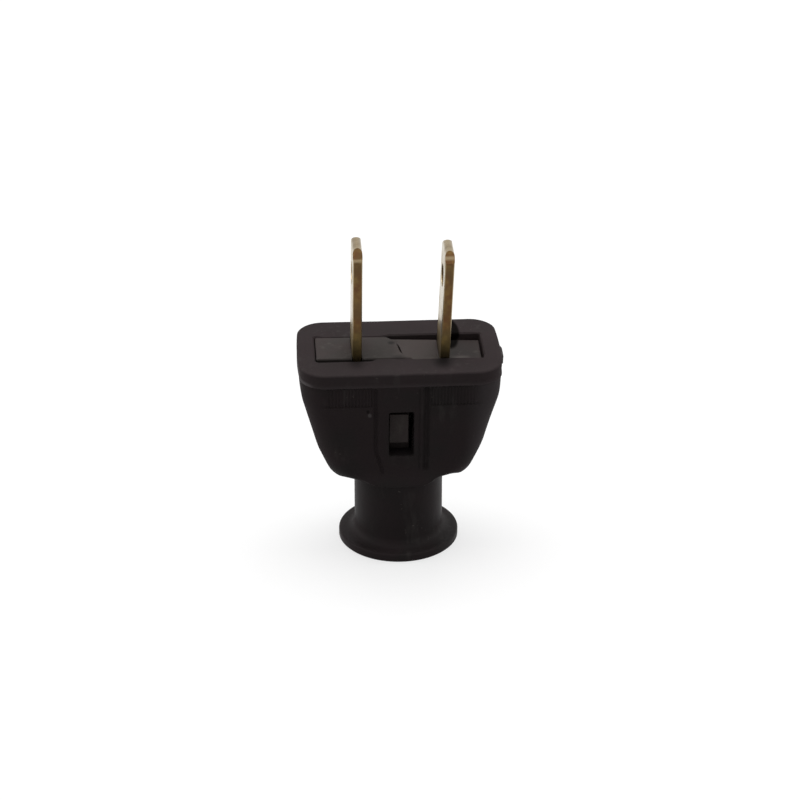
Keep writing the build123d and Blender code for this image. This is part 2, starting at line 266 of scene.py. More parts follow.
def mix_colours(tree, factor, first, second):
    node = tree.nodes.new("ShaderNodeMix")
    node.data_type = "RGBA"
    for number, value in ((0, factor), (6, first), (7, second)):
        socket = node.inputs[number]
        if isinstance(value, bpy.types.NodeSocket):
            tree.links.new(value, socket)
        else:
            socket.default_value = value
    return node.outputs[2]


@built_once
def moulded_grain():
    """Fine grain of a moulded skin: a bump normal and a roughness that varies with it."""
    group, into, out = new_group(
        "moulded_grain",
        (("Grain scale", 2600.0), ("Depth", 0.00002), ("Roughness", 0.55), ("Variation", 0.12)),
        (("Normal", "NodeSocketVector"), ("Roughness", "NodeSocketFloat")),
    )
    place = object_place(group)
    fine = noise_node(group, place, 3.0, into.outputs["Grain scale"])
    broad = noise_node(group, place, 2.0, scale=260.0)
    height = math_node(group, "MULTIPLY", fine, into.outputs["Depth"])
    bump = group.nodes.new("ShaderNodeBump")
    bump.inputs["Distance"].default_value = 1.0
    group.links.new(height, bump.inputs["Height"])
    group.links.new(bump.outputs["Normal"], out.inputs["Normal"])
    shift = math_node(group, "SUBTRACT", broad, 0.5)
    shift = math_node(group, "MULTIPLY", shift, into.outputs["Variation"])
    rough = math_node(group, "ADD", into.outputs["Roughness"], shift)
    group.links.new(rough, out.inputs["Roughness"])
    return group


@built_once
def handling_marks():
    """Specks of dust and short scuffs: one mask for each."""
    group, into, out = new_group(
        "handling_marks",
        (("Dust", 0.5), ("Scuffs", 0.5)),
        (("Dust", "NodeSocketFloat"), ("Scuffs", "NodeSocketFloat")),
    )
    place = object_place(group)
    specks = noise_node(group, place, 1.0, scale=2100.0)
    patches = noise_node(group, place, 3.0, scale=210.0)
    speck = ramp_node(group, specks, 0.70, 0.80)
    patch = ramp_node(group, patches, 0.45, 0.70)
    dust = math_node(group, "MULTIPLY", speck, patch)
    group.links.new(math_node(group, "MULTIPLY", dust, into.outputs["Dust"]), out.inputs["Dust"])
    stretch = group.nodes.new("ShaderNodeMapping")
    stretch.inputs["Scale"].default_value = (1.0, 1.0, 0.22)
    group.links.new(place, stretch.inputs["Vector"])
    lines = noise_node(group, stretch.outputs["Vector"], 4.0, scale=900.0)
    scuff = ramp_node(group, lines, 0.50, 0.72)
    scuff = math_node(group, "MULTIPLY", scuff, patch)
    scuff = math_node(group, "MULTIPLY", scuff, into.outputs["Scuffs"])
    group.links.new(scuff, out.inputs["Scuffs"])
    return group


def new_material(name):
    material = bpy.data.materials.new(name)
    material.use_nodes = True
    tree = material.node_tree
    tree.nodes.clear()
    shader = tree.nodes.new("ShaderNodeBsdfPrincipled")
    output = tree.nodes.new("ShaderNodeOutputMaterial")
    tree.links.new(shader.outputs["BSDF"], output.inputs["Surface"])
    return material, tree, shader


def place_group(tree, group, **values):
    node = tree.nodes.new("ShaderNodeGroup")
    node.node_tree = group
    for label, value in values.items():
        node.inputs[label.replace("_", " ")].default_value = value
    return node


@built_once
def mottle():
    """Slow drifts of tone in a moulded skin, as one mask."""
    group, into, out = new_group("mottle", (("Strength", 0.5),), (("Mottle", "NodeSocketFloat"),))
    place = object_place(group)
    drift = noise_node(group, place, 3.0, scale=190.0)
    mask = ramp_node(group, drift, 0.38, 0.66)
    mask = math_node(group, "MULTIPLY", mask, into.outputs["Strength"])
    group.links.new(mask, out.inputs["Mottle"])
    return group


@built_once
def oval_mark():
    """An oval mark at a place, as one mask."""
    group, into, out = new_group(
        "oval_mark", (("Softness", 0.15), ("Strength", 1.0)), (("Mark", "NodeSocketFloat"),)
    )
    for label in ("Centre", "Reach"):
        group.interface.new_socket(label, in_out="INPUT", socket_type="NodeSocketVector")
    place = object_place(group)
    reach = group.nodes.new("ShaderNodeMapping")
    reach.vector_type = "TEXTURE"
    group.links.new(into.outputs["Centre"], reach.inputs["Location"])
    group.links.new(into.outputs["Reach"], reach.inputs["Scale"])
    group.links.new(place, reach.inputs["Vector"])
    far = group.nodes.new("ShaderNodeVectorMath")
    far.operation = "LENGTH"
    group.links.new(reach.outputs["Vector"], far.inputs[0])
    past = math_node(group, "SUBTRACT", far.outputs["Value"], 1.0)
    past = math_node(group, "DIVIDE", past, into.outputs["Softness"])
    inside = ramp_node(group, past, -1.0, 0.3, 1.0, 0.0)
    mark = math_node(group, "MULTIPLY", inside, into.outputs["Strength"])
    group.links.new(mark, out.inputs["Mark"])
    return group


# Marks in the moulded skins: centre and reach (metres), softness, strength and colour. The first
# is the dark lens behind the right blade, then come three painted shadows at the blades' feet, a
# dark spot and an end of the joint, a pale patch on the core's right end, and a nick with its
# burr.
# Near black, for the dark marks and for the painted shadows at the blades' feet
BLACK_MARK_AND_SHADE = (0.0016, 0.0010, 0.0007, 1.0)
MARKS_AND_SHADOWS = (
    ((0.0075, 0.0044, 0.0302), (0.0016, 0.0046, 0.0015), 0.18, 1.0, BLACK_MARK_AND_SHADE),
    # Painted shadows: three dark smudges for the shade round the blades' roots
    ((-0.0061, -0.0043, 0.0303), (0.0015, 0.0026, 0.0010), 0.9, 0.55, BLACK_MARK_AND_SHADE),
    ((0.0060, -0.0047, 0.0303), (0.0016, 0.0028, 0.0010), 0.9, 0.85, BLACK_MARK_AND_SHADE),
    ((0.0076, -0.0034, 0.0298), (0.0010, 0.0012, 0.0012), 0.9, 0.55, BLACK_MARK_AND_SHADE),
    ((-0.0009, 0.0015, 0.0302), (0.0006, 0.0006, 0.0008), 0.6, 0.70, BLACK_MARK_AND_SHADE),
    ((0.0, -0.0032, 0.0300), (0.0014, 0.0010, 0.0008), 0.9, 0.60, BLACK_MARK_AND_SHADE),
    ((0.0087, -0.0027, 0.0296), (0.0016, 0.0011, 0.0012), 0.7, 0.75, (0.085, 0.074, 0.070, 1.0)),
    ((-0.00475, -0.0081, 0.0243), (0.00025, 0.0010, 0.00035), 0.6, 0.75, BLACK_MARK_AND_SHADE),
    ((-0.00450, -0.0081, 0.0237), (0.00030, 0.0010, 0.00040), 0.6, 0.60, (0.11, 0.10, 0.10, 1.0)),
)


def toned(tree, skin, axes, tones):
    """Mix a skin towards other colours: each tone is a colour, a strength and ramps along axes."""
    for colour, strength, ramps in tones:
        share = strength
        for axis, low, high in ramps:
            ramp = ramp_node(tree, axes[axis], low, high)
            share = math_node(tree, "MULTIPLY", ramp, share)
        skin = mix_colours(tree, share, skin, colour)
    return skin


def moulded_material(name, colour, roughness, specular, grain_scale, depth, dust, scuffs, tones):
    """A dark moulded skin, smoother on the neck and flange than on the body and face."""
    material, tree, shader = new_material(name)
    grain = place_group(
        tree, moulded_grain(), Grain_scale=grain_scale, Depth=depth, Variation=0.16
    )
    axes = axes_of(tree, object_place(tree))
    spots = [
        place_group(
            tree, oval_mark(), Centre=centre, Reach=reach, Softness=softness, Strength=strength
        )
        for centre, reach, softness, strength, _ in MARKS_AND_SHADOWS
    ]
    neck_roughness = 0.45
    rough = ramp_node(tree, axes["Z"], 0.0115, 0.0150, neck_roughness, roughness)
    rougher = math_node(tree, "MULTIPLY", spots[0].outputs["Mark"], 0.5)
    rough = math_node(tree, "ADD", rough, rougher)
    tree.links.new(rough, grain.inputs["Roughness"])
    marks = place_group(tree, handling_marks(), Dust=dust, Scuffs=scuffs)
    dusty = (0.10, 0.088, 0.080, 1.0)
    scuffed = (2.2 * colour[0], 2.6 * colour[1], 2.4 * colour[2], 1.0)
    drift = place_group(tree, mottle(), Strength=0.8)
    greyer = (0.86 * colour[0], 1.0 * colour[1], 0.94 * colour[2], 1.0)
    skin = mix_colours(tree, drift.outputs["Mottle"], tuple(colour), greyer)
    skin = toned(tree, skin, axes, tones)
    skin = mix_colours(tree, marks.outputs["Scuffs"], skin, scuffed)
    skin = mix_colours(tree, marks.outputs["Dust"], skin, dusty)
    for spot, mark in zip(spots, MARKS_AND_SHADOWS):
        skin = mix_colours(tree, spot.outputs["Mark"], skin, mark[-1])
    tree.links.new(skin, shader.inputs["Base Color"])
    tree.links.new(grain.outputs["Roughness"], shader.inputs["Roughness"])
    tree.links.new(grain.outputs["Normal"], shader.inputs["Normal"])
    shader.inputs["Specular IOR Level"].default_value = specular
    return material


def rubber_material(colours):
    """The shell's rubber. Tones: the paler band round the face, a painted highlight along its
    foot, brighter at the left end, the paler right flank, the darker top of the rim and the darker
    neck."""
    above, below = ("Z", 0.02815, 0.0284), ("Z", 0.0290, 0.0285)
    tones = (
        ((0.057, 0.043, 0.045, 1.0), 0.30, (("Z", 0.0282, 0.0284),)),
        # Painted highlight along the band's foot, and brighter at its left end
        ((0.085, 0.076, 0.078, 1.0), 0.14, (above, below)),
        ((0.130, 0.118, 0.120, 1.0), 0.65, (above, below, ("X", -0.0120, -0.0135))),
        ((0.057, 0.050, 0.052, 1.0), 0.60, (
            ("X", 0.0085, 0.0120), ("Z", 0.0285, 0.0280), ("Z", 0.0130, 0.0180),
        )),
        ((0.014, 0.0110, 0.0115, 1.0), 0.25, (("Z", 0.0298, 0.0302),)),
        ((0.014, 0.0108, 0.0112, 1.0), 0.45, (("Z", 0.0125, 0.0100), ("Z", 0.0020, 0.0040))),
    )
    return moulded_material(
        "shell_rubber", colours.rubber, roughness=0.74, specular=0.05, grain_scale=3000.0,
        depth=0.000016, dust=0.6, scuffs=0.4, tones=tones,
    )


def core_material(colours):
    """The core's plastic. Tones: paler near the middle, darker past the right blade and darker
    below the face."""
    tones = (
        ((0.070, 0.057, 0.054, 1.0), 0.45, (("X", -0.0015, 0.0010), ("X", 0.0065, 0.0050))),
        ((0.016, 0.012, 0.012, 1.0), 0.40, (("X", 0.0072, 0.0084), ("X", 0.0116, 0.0106))),
        ((0.020, 0.015, 0.015, 1.0), 0.45, (("Z", 0.0245, 0.0240),)),
    )
    return moulded_material(
        "core_plastic", colours.core, roughness=0.55, specular=0.07, grain_scale=3600.0,
        depth=0.000012, dust=0.5, scuffs=0.6, tones=tones,
    )


def brass_material(colours):
    """Rolled brass: bright on the broad faces and the fold, brown on the cut edges and roots.
    A painted shade darkens each blade just above the face.
    """
    material, tree, shader = new_material("blade_brass")
    coords = tree.nodes.new("ShaderNodeTexCoord").outputs
    place, facing = coords["Object"], axes_of(tree, coords["Normal"])
    towards_edge = math_node(tree, "ABSOLUTE", facing["Y"], 0.0)
    towards_side = math_node(tree, "ABSOLUTE", facing["X"], 0.0)
    cut_edge = math_node(
        tree, "MULTIPLY", ramp_node(tree, towards_edge, 0.30, 0.60),
        ramp_node(tree, towards_side, 0.30, 0.62, 1.0, 0.0),
    )
    height = axes_of(tree, place)["Z"]
    over = ramp_node(tree, height, 0.04480, 0.04515)
    under = ramp_node(tree, height, 0.04520, 0.04550, 0.6, 0.0)
    worn_corner = math_node(tree, "SUBTRACT", 1.0, math_node(tree, "MULTIPLY", over, under))
    cut_edge = math_node(tree, "MULTIPLY", cut_edge, worn_corner)
    root = ramp_node(tree, height, 0.0365, 0.0320, 0.0, 0.9)
    # Painted shade: near black over the last 3 mm above the face, for the dark core reflected in
    # the brass and the shade at the foot
    root_shade = ramp_node(tree, height, 0.0330, 0.0298, 0.0, 0.65)
    blotch = noise_node(tree, place, 5.0, scale=420.0)
    patch = ramp_node(tree, blotch, 0.42, 0.75, 0.0, 0.55)
    dirty = math_node(tree, "MAXIMUM", math_node(tree, "MAXIMUM", cut_edge, root), patch)
    rolled = ramp_node(tree, towards_side, 0.75, 0.96)
    clean = mix_colours(tree, rolled, tuple(colours.brass), tuple(colours.rolled))
    drift = noise_node(tree, place, 2.0, scale=330.0)
    redder = ramp_node(tree, drift, 0.42, 0.62)
    brown = tuple(colours.tarnish)
    red_brown = (1.08 * brown[0], 0.90 * brown[1], 0.88 * brown[2], 1.0)
    olive, gold = (0.100, 0.078, 0.032, 1.0), (0.24, 0.165, 0.052, 1.0)
    # The second colour is the near-black painted shade at the blades' feet
    dull, root_shade_colour = (0.27, 0.200, 0.090, 1.0), (0.030, 0.024, 0.014, 1.0)
    stain = mix_colours(tree, redder, brown, red_brown)
    stain = mix_colours(tree, math_node(tree, "MULTIPLY", root, 0.7), stain, olive)
    flecks = noise_node(tree, place, 5.0, scale=800.0)
    golden = ramp_node(tree, flecks, 0.40, 0.80, 0.0, 0.50)
    stain = mix_colours(tree, golden, stain, gold)
    stain = mix_colours(tree, rolled, stain, dull)
    skin = mix_colours(tree, dirty, clean, stain)
    # The painted shade at the blade's foot goes on last
    skin = mix_colours(tree, root_shade, skin, root_shade_colour)
    tree.links.new(skin, shader.inputs["Base Color"])
    draw = tree.nodes.new("ShaderNodeMapping")
    draw.inputs["Scale"].default_value = (1.0, 1.0, 0.05)
    tree.links.new(place, draw.inputs["Vector"])
    lines = noise_node(tree, draw.outputs["Vector"], 3.0, scale=3200.0)
    streak = math_node(tree, "MULTIPLY", lines, 0.22)
    worn = math_node(tree, "MULTIPLY", dirty, 0.22)
    rough = math_node(tree, "ADD", math_node(tree, "ADD", streak, worn), 0.16)
    tree.links.new(rough, shader.inputs["Roughness"])
    bump = tree.nodes.new("ShaderNodeBump")
    bump.inputs["Distance"].default_value = 0.000006
    bump.inputs["Strength"].default_value = 0.3
    tree.links.new(lines, bump.inputs["Height"])
    tree.links.new(bump.outputs["Normal"], shader.inputs["Normal"])
    shader.inputs["Metallic"].default_value = 1.0
    return material


def steel_material(colours):
    """Plated steel with duller scuffs."""
    material, tree, shader = new_material("terminal_steel")
    grain = place_group(
        tree, moulded_grain(), Grain_scale=5200.0, Depth=0.000004, Roughness=0.30, Variation=0.2
    )
    marks = place_group(tree, handling_marks(), Dust=0.2, Scuffs=0.6)
    dull = (0.30, 0.27, 0.22, 1.0)
    skin = mix_colours(tree, marks.outputs["Scuffs"], tuple(colours.steel), dull)
    tree.links.new(skin, shader.inputs["Base Color"])
    tree.links.new(grain.outputs["Roughness"], shader.inputs["Roughness"])
    tree.links.new(grain.outputs["Normal"], shader.inputs["Normal"])
    shader.inputs["Metallic"].default_value = 1.0
    return material


# ---- mesh helpers


def linked_object(name, data):
    thing = bpy.data.objects.new(name, data)
    bpy.context.scene.collection.objects.link(thing)
    return thing


def mesh_object(name, points, faces):
    """A new object at the origin, from points in millimetres."""
    mesh = bpy.data.meshes.new(name)
    mesh.from_pydata([tuple(p) for p in np.asarray(points) * MM], [], faces)
    mesh.update()
    return linked_object(name, mesh)


def quarter_turn(steps):
    """Angles from nought to a right angle, both included."""
    return [0.5 * math.pi * k / steps for k in range(steps + 1)]


def broad_columns(run):
    """Where the columns of a broad side stand, from one corner to just short of the other."""
    reach = max(run, MIDDLE_HALF + 1.0)
    outer = np.linspace(MIDDLE_HALF, reach, OUTER_COLUMNS + 1)[1:]
    middle = np.linspace(-MIDDLE_HALF, MIDDLE_HALF, MIDDLE_COLUMNS + 1)
    return np.concatenate((-outer[::-1], middle, outer[:-1])) * run / reach


def outline(half_length, half_depth, corner, bow=0.0):
    """A rounded rectangle with bowed ends: points and outward directions, always as many."""
    end = half_length - bow
    run, rise = end - corner, half_depth - corner
    points, outward = [], []

    def bulge(y):
        return bow * (1.0 - (y / half_depth) ** 2)

    def add(x, y, nx, ny):
        points.append((x + nx * bulge(y), y))
        outward.append((nx, ny))

    for side in (-1, 1):
        for x in broad_columns(run):
            add(-side * x, side * half_depth, 0.0, side)
        for turn in quarter_turn(CORNER_COLUMNS)[:-1]:
            nx, ny = -side * math.sin(turn), side * math.cos(turn)
            add(-side * run + corner * nx, side * rise + corner * ny, nx, ny)
        for k in range(END_COLUMNS):
            add(-side * end, side * rise * (1.0 - 2.0 * k / END_COLUMNS), -side, 0.0)
        for turn in quarter_turn(CORNER_COLUMNS)[:-1]:
            nx, ny = -side * math.cos(turn), -side * math.sin(turn)
            add(-side * run + corner * nx, -side * rise + corner * ny, nx, ny)
    return np.array(points), np.array(outward)


def closed_mesh(name, rows):
    """A closed mesh from rings of equal length, each an array of points, capped at both ends."""
    count = len(rows[0])
    faces = []
    for r in range(len(rows) - 1):
        base = r * count
        for k in range(count):
            after = (k + 1) % count
            faces.append((base + k, base + after, base + count + after, base + count + k))
    faces.append(tuple(reversed(range(count))))
    faces.append(tuple(range((len(rows) - 1) * count, len(rows) * count)))
    piece = mesh_object(name, np.vstack(rows), faces)
    bm = bmesh.new()
    bm.from_mesh(piece.data)
    bmesh.ops.recalc_face_normals(bm, faces=bm.faces)
    bm.to_mesh(piece.data)
    bm.free()
    return piece


def turned(name, profile, columns=96):
    """A solid of revolution about Z from (radius, height) points, capped at both ends."""
    angles = np.linspace(0.0, 2.0 * math.pi, columns, endpoint=False)
    rows = [
        np.column_stack((r * np.cos(angles), r * np.sin(angles), np.full(columns, z)))
        for r, z in profile
    ]
    return closed_mesh(name, rows)


def combine(piece, other, operation="DIFFERENCE"):
    """Cut or join another mesh into a piece; removing the other mesh removes its object too."""
    modifier = piece.modifiers.new("cut", "BOOLEAN")
    modifier.operation = operation
    modifier.solver = "MANIFOLD"
    modifier.object = other
    graph = bpy.context.evaluated_depsgraph_get()
    result = bpy.data.meshes.new_from_object(piece.evaluated_get(graph))
    piece.modifiers.clear()
    piece.data = result
    bpy.data.meshes.remove(other.data)


def smooth(piece, angle):
    piece.data.polygons.foreach_set("use_smooth", [True] * len(piece.data.polygons))
    piece.data.set_sharp_from_angle(angle=math.radians(angle))


def soft_step(value, low, high):
    t = np.clip((value - low) / (high - low), 0.0, 1.0)
    return t * t * (3.0 - 2.0 * t)


def band(value, low, high, soft):
    """1 between low and high, falling to 0 over soft outside them."""
    return soft_step(value, low - soft, low) * (1.0 - soft_step(value, high, high + soft))


# ---- shell


def half_length_at(z):
    """Half the body's length at a height, with the bends of its ends rounded."""
    heights = [h for h, _ in BODY_HALF_LENGTHS][::-1]
    halves = [a for _, a in BODY_HALF_LENGTHS][::-1]
    reach = min(BEND, z - BODY_BOTTOM, BAND_BOTTOM - z)
    around = np.linspace(-reach, reach, 9)
    return float(np.mean([np.interp(z + d, heights, halves) for d in around]))


def half_depth_at(z):
    return BODY_HALF_DEPTH - (BAND_BOTTOM - z) * BROAD_SLOPE


def shell_rows(sizes):
    """(height, half length, half depth, corner) of each ring, from the face down to the neck."""
    rim = sizes.rim_round / MM
    rows = [
        (FACE_HEIGHT, inset, max(CORNER - inset, 0.5))
        for inset in (5.6, 4.4, 3.4, 2.4, 1.6, 1.0, rim + 0.2)
    ]
    for turn in quarter_turn(6):
        inset = rim * (1.0 - math.sin(turn))
        rows.append((FACE_HEIGHT - rim * (1.0 - math.cos(turn)), inset, CORNER - inset))
    rows += [(z, inset, CORNER) for z, inset in BAND_RINGS]
    rings = [
        (z, FACE_HALF_LENGTH - inset, FACE_HALF_DEPTH - inset, corner) for z, inset, corner in rows
    ]
    heights = list(np.arange(28.12, 23.0, -0.14)) + list(np.arange(22.9, 14.95, -0.25))
    for z in heights:
        rings.append((z, half_length_at(z), half_depth_at(z), CORNER))
    for turn in quarter_turn(14):
        z = BODY_BOTTOM + SHOULDER_ROUND * (1.0 - math.sin(turn))
        a = shoulder_half(half_length_at, SHOULDER_ANGLE, z, SHOULDER_ROUND)
        b = shoulder_half(half_depth_at, BROAD_ANGLE, z, BROAD_ROUND)
        rings.append((z, a, b, CORNER + CORNER_GROWTH * (1.0 - math.cos(turn))))
    rings.append((BODY_BOTTOM, a - 1.6, b - 1.6, 4.0))
    return rings


def shoulder_half(straight, lean, z, radius):
    """Half a size in the round under the body, whose wall leans in by an angle."""
    sine = 1.0 - (z - BODY_BOTTOM) / radius
    if sine <= math.sin(lean):
        return straight(z)
    centre = straight(BODY_BOTTOM) - radius * math.tan(0.5 * (0.5 * math.pi - lean))
    return centre + radius * math.sqrt(1.0 - min(sine, 1.0) ** 2)


def groove(off, half_width, bed, depth):
    """How deep a groove is at a distance off its middle. A bed over 1 leaves it flat there."""
    return depth * np.clip(bed - np.abs(off) / half_width, 0.0, 1.0)


def side_relief(x, z):
    """How deep a broad side is sunk at a place, as seen from its front: panel lines, of which
    the left one bends inwards and the right ones end higher, grip pads and a nick's burr."""
    lines = band(z, LINES_END, LINES_TOP, LINES_FADE)
    higher = band(z, LINES_END + 0.6, LINES_TOP, LINES_FADE)
    curve = soft_step(-z, -18.5, -13.5)
    left = groove(x + 3.66 - curve, 0.32, 1.25, 0.34)
    right = groove(x - 3.48, 0.44, 1.3, 0.55 * higher)
    inner = groove(x - 2.50, 0.20, 1.0, 0.18 * higher)
    far = GRIP_START + GRIP_LENGTH
    pads = PAD_DEPTH * band(z, PAD_BOTTOM, PAD_TOP, PAD_EDGE)
    pads = pads * band(np.abs(x), GRIP_START, far, PAD_EDGE)
    burr = 0.20 * np.exp(-((x + 4.25) ** 2 / 0.02 + (z - 23.6) ** 2 / 0.06))
    return np.maximum(lines * np.maximum(np.maximum(left, right), inner), pads) - burr


def rim_rise(flat, y, wave):
    """How far the rim's top strays from level, with a slight lift at its back left."""
    stray = [noise.noise(Vector((0.16 * px, 0.16 * py, 7.0))) for px, py in flat]
    rise = -wave * np.abs(stray) * soft_step(-y, -6.0, 4.0)
    return rise + 0.05 * soft_step(-flat[:, 0], 2.0, 9.0) * soft_step(y, 2.0, 7.0)


def shoulder_rise(x, y, z):
    """How far the round under the body strays from level: its middle hangs lower."""
    rise = -BROAD_DROP * (1.0 - soft_step(np.abs(x), 2.5, 6.0)) * soft_step(np.abs(y), 4.0, 6.0)
    rise += 0.45 * band(x, 5.4, 7.0, 1.6) + 0.15 * band(-x, 5.4, 7.0, 1.6)
    rise -= 0.2 * soft_step(np.abs(x), 7.8, 9.0)
    return rise * soft_step(-z, -14.0, -12.2)


def shell_outside(sizes):
    """The shell's skin from rings, with its relief, nub, waviness and slight swell."""
    rows = []
    wave = sizes.waviness / MM
    for z, a, b, corner in shell_rows(sizes):
        flat, outward = outline(a, b, corner, END_BOW)
        x, y = flat[:, 0], flat[:, 1]
        depth = np.zeros(len(flat))
        heights = np.full(len(flat), z)
        if z < BAND_BOTTOM - 0.05:
            depth += np.where(outward[:, 1] < -FACING, side_relief(x, heights), 0.0)
            depth += np.where(outward[:, 1] > FACING, side_relief(-x, heights), 0.0)
        else:
            nub = band(y, *NUB_SIDES, 0.25) * (outward[:, 0] > FACING)
            depth -= NUB_REACH * nub * band(z, *NUB_HEIGHTS, 0.2)
        stray = [noise.noise(Vector((0.22 * px, 0.22 * py, 0.22 * z))) for px, py in flat]
        depth += wave * np.abs(stray)
        flat = flat - outward * depth[:, None]
        swell = 0.008 * soft_step(z, 21.0, 25.0) * (1.0 - 0.5 * soft_step(z, 28.2, 28.5))
        flat[:, 0] += swell * np.clip(flat[:, 0], 0.0, None)
        rise = np.zeros(len(flat))
        if z > 29.0:
            rise = rim_rise(flat, y, wave)
        elif z < 14.0 and b > 6.0:
            rise = shoulder_rise(x, y, z)
        rows.append(np.column_stack((flat, heights + rise)))
    return closed_mesh("shell_moulding", rows)


def neck_profile():
    """(radius, height) round the flange and up the neck."""
    foot = NECK_RADIUS + FLANGE_FILLET
    profile = [(FLANGE_RADIUS - 0.15, 0.0), (FLANGE_RADIUS, 0.15)]
    for turn in quarter_turn(5):
        profile.append((
            FLANGE_RADIUS - FLANGE_EDGE * (1.0 - math.cos(turn)),
            FLANGE_THICKNESS - FLANGE_EDGE * (1.0 - math.sin(turn)),
        ))
    for turn in quarter_turn(8):
        profile.append((
            foot - FLANGE_FILLET * math.sin(turn),
            FLANGE_THICKNESS - 0.05 + FLANGE_FILLET * (1.0 - math.cos(turn)),
        ))
    return profile + [(NECK_RADIUS, z) for z in (4.6, 6.4, 8.2, 10.0, 11.5, 13.0, 14.4)]


def slot_cutter(sizes):
    """The slot in the face, pinched in front and pressed in at the back left by the rubber."""
    soft = sizes.slot_round / MM
    rings = [(LIP_UNDERSIDE - 0.5, 0.0)]
    for turn in quarter_turn(5):
        z = FACE_HEIGHT - 0.05 - soft * (1.0 - math.sin(turn))
        rings.append((z, soft * (1.0 - math.cos(turn))))
    rings.append((FACE_HEIGHT + 1.0, soft + 0.4))
    rows = []
    for z, grow in rings:
        flat, outward = outline(
            SLOT_HALF_LENGTH + grow, SLOT_HALF_DEPTH + grow, SLOT_CORNER + grow
        )
        x = flat[:, 0]
        x += np.where(outward[:, 0] < -FACING, 0.08, 0.0)
        pinch = -0.2 + 0.62 * soft_step(x, -4.2, -3.0) * (1.0 - 0.48 * soft_step(x, 1.0, 2.2))
        pinch = pinch * (1.0 - soft_step(x, 9.0, 11.0))
        flat[:, 1] += np.where(outward[:, 1] < -FACING, pinch, 0.0)
        press = 0.45 * soft_step(-x, 1.0, 2.5) * (1.0 - soft_step(-x, 10.4, 11.4))
        flat[:, 1] -= np.where(outward[:, 1] > FACING, press, 0.0)
        rows.append(np.column_stack((flat, np.full(len(flat), z))))
    return closed_mesh("slot_cutter", rows)


def cavity_cutter():
    rows = []
    for z, a, b in CAVITY_LEVELS:
        flat, _ = outline(a, b, 0.5)
        rows.append(np.column_stack((flat, np.full(len(flat), z))))
    return closed_mesh("cavity_cutter", rows)


def window_cutter(side):
    """A round-cornered box through one broad side, wider where it meets the outside."""
    centre_z, half_width, half_height, corner = 20.35, 1.775, 3.65, 0.3
    face_y = half_depth_at(centre_z)
    rows = []
    for out, grow in WINDOW_FLARE:
        points = []
        for kx, kz in ((-1, -1), (1, -1), (1, 1), (-1, 1)):
            for k in range(5):
                turn = math.atan2(kz, kx) + math.radians(-45 + 22.5 * k)
                x = kx * (half_width + grow - corner) + corner * math.cos(turn)
                dz = kz * (half_height + grow - corner) + corner * math.sin(turn)
                y = face_y + dz * BROAD_SLOPE + out
                points.append((x * -side, y * side, centre_z + dz))
        rows.append(np.array(points))
    return closed_mesh("window_cutter", rows)


def make_shell(sizes):
    shell = shell_outside(sizes)
    combine(shell, turned("neck", neck_profile()), "UNION")
    combine(shell, cavity_cutter())
    combine(shell, slot_cutter(sizes))
    bore = ((BORE_RADIUS, -1.0), (BORE_RADIUS, CAVITY_FLOOR + 0.5))
    combine(shell, turned("bore_cutter", bore, 64))
    for side in (-1, 1):
        combine(shell, window_cutter(side))
    smooth(shell, 38.0)
    return shell


def coat(piece, material):
    """Give a piece one material in place of those it has."""
    piece.data.materials.clear()
    piece.data.materials.append(material)


class PLUG_OT_shell(bpy.types.Operator):
    """Make the rubber shell with its neck, flange, slot and latch windows"""

    bl_idname = "plug.shell"
    bl_label = "Rubber shell"

    def execute(self, context):
        shell = make_shell(context.scene.plug_shell)
        coat(shell, rubber_material(context.scene.plug_colours))
        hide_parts("shell")
        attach(shell, ROOT)
        return {"FINISHED"}


# ---- ribs of the grips


